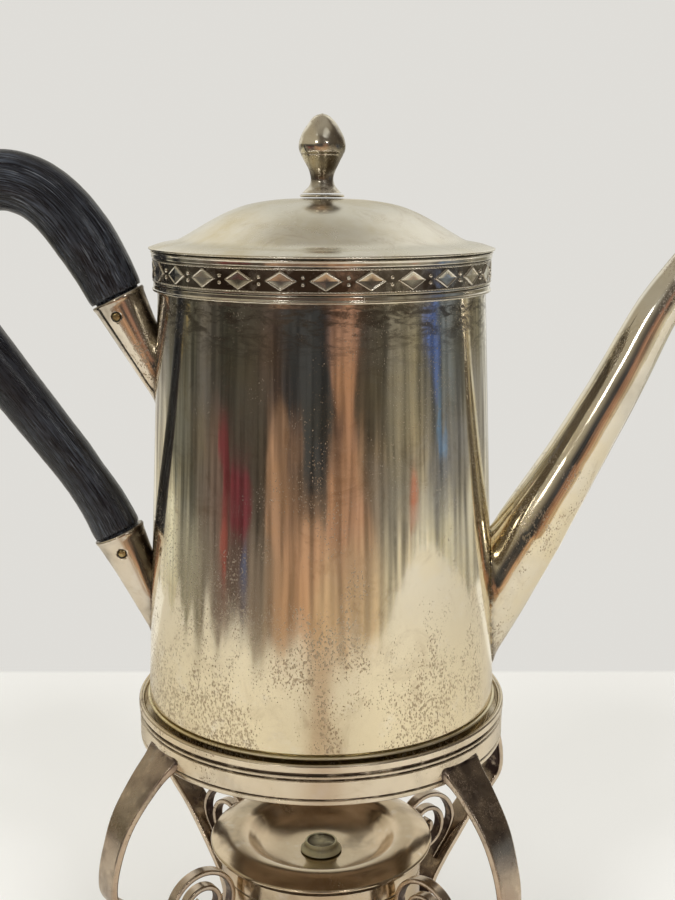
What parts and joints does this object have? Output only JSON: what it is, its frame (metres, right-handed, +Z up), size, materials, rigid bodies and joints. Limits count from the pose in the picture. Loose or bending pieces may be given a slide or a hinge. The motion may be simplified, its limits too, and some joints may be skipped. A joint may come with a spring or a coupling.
{
  "type": "coffee pot on warming stand",
  "caption": "Tapered silver coffee pot with wooden loop handle, straight spout, diamond frieze and lift-off lid, on a scroll-legged stand with a spirit burner.",
  "frame": {"origin": "on the pot's vertical axis, at the level of the table the stand's feet rest on", "axes": "+Z up along the pot's axis, +X towards the spout, -X towards the handle, -Y the side seen from the front"},
  "size_m": [0.2602, 0.118, 0.2937],
  "materials": {
    "silver": "polished silver with brown tarnish speckles and fine scratches",
    "tarnished_silver": "silver with a warm brown and grey tarnish",
    "brass": "dull brass",
    "ebonised_wood": "black-stained wood, satin, with open grain",
    "cotton": "woven cotton"
  },
  "bodies": {
    "stand": {"stand_ring": "tarnished_silver", "leg_front_left": "tarnished_silver", "leg_front_right": "tarnished_silver", "leg_back_right": "tarnished_silver", "leg_back_left": "tarnished_silver", "scroll_front_left": "tarnished_silver", "scroll_front_right": "tarnished_silver", "scroll_back_right": "tarnished_silver", "scroll_back_left": "tarnished_silver", "burner_tray": "tarnished_silver"},
    "burner": {"burner_drum": "tarnished_silver", "wick_holder": "brass", "wick": "cotton"},
    "cover": {"burner_cover": "silver", "cover_knob": "silver"},
    "pot": {"pot_body": "silver", "body_base": "silver", "foot_wire": "silver", "lower_bead": "silver", "frieze_band": "silver", "upper_bead": "silver", "spout": "silver", "upper_socket": "silver", "lower_socket": "silver", "upper_rivet": "brass", "lower_rivet": "brass", "wood_handle": "ebonised_wood"},
    "lid": {"lid_dome": "silver", "lid_bezel": "silver", "finial_base": "silver", "finial": "silver"}
  },
  "joints": [
    {"name": "pot_lift", "type": "slide", "parent": "stand", "child": "pot", "axis": [0, 0, 1], "range_m": [0, 0.08]},
    {"name": "lid_lift", "type": "slide", "parent": "pot", "child": "lid", "axis": [0, 0, 1], "range_m": [0, 0.06]},
    {"name": "burner_lift", "type": "slide", "parent": "stand", "child": "burner", "axis": [0, 0, 1], "range_m": [0, 0.024]},
    {"name": "cover_lift", "type": "slide", "parent": "burner", "child": "cover", "axis": [0, 0, 1], "range_m": [0, 0.018]}
  ]
}
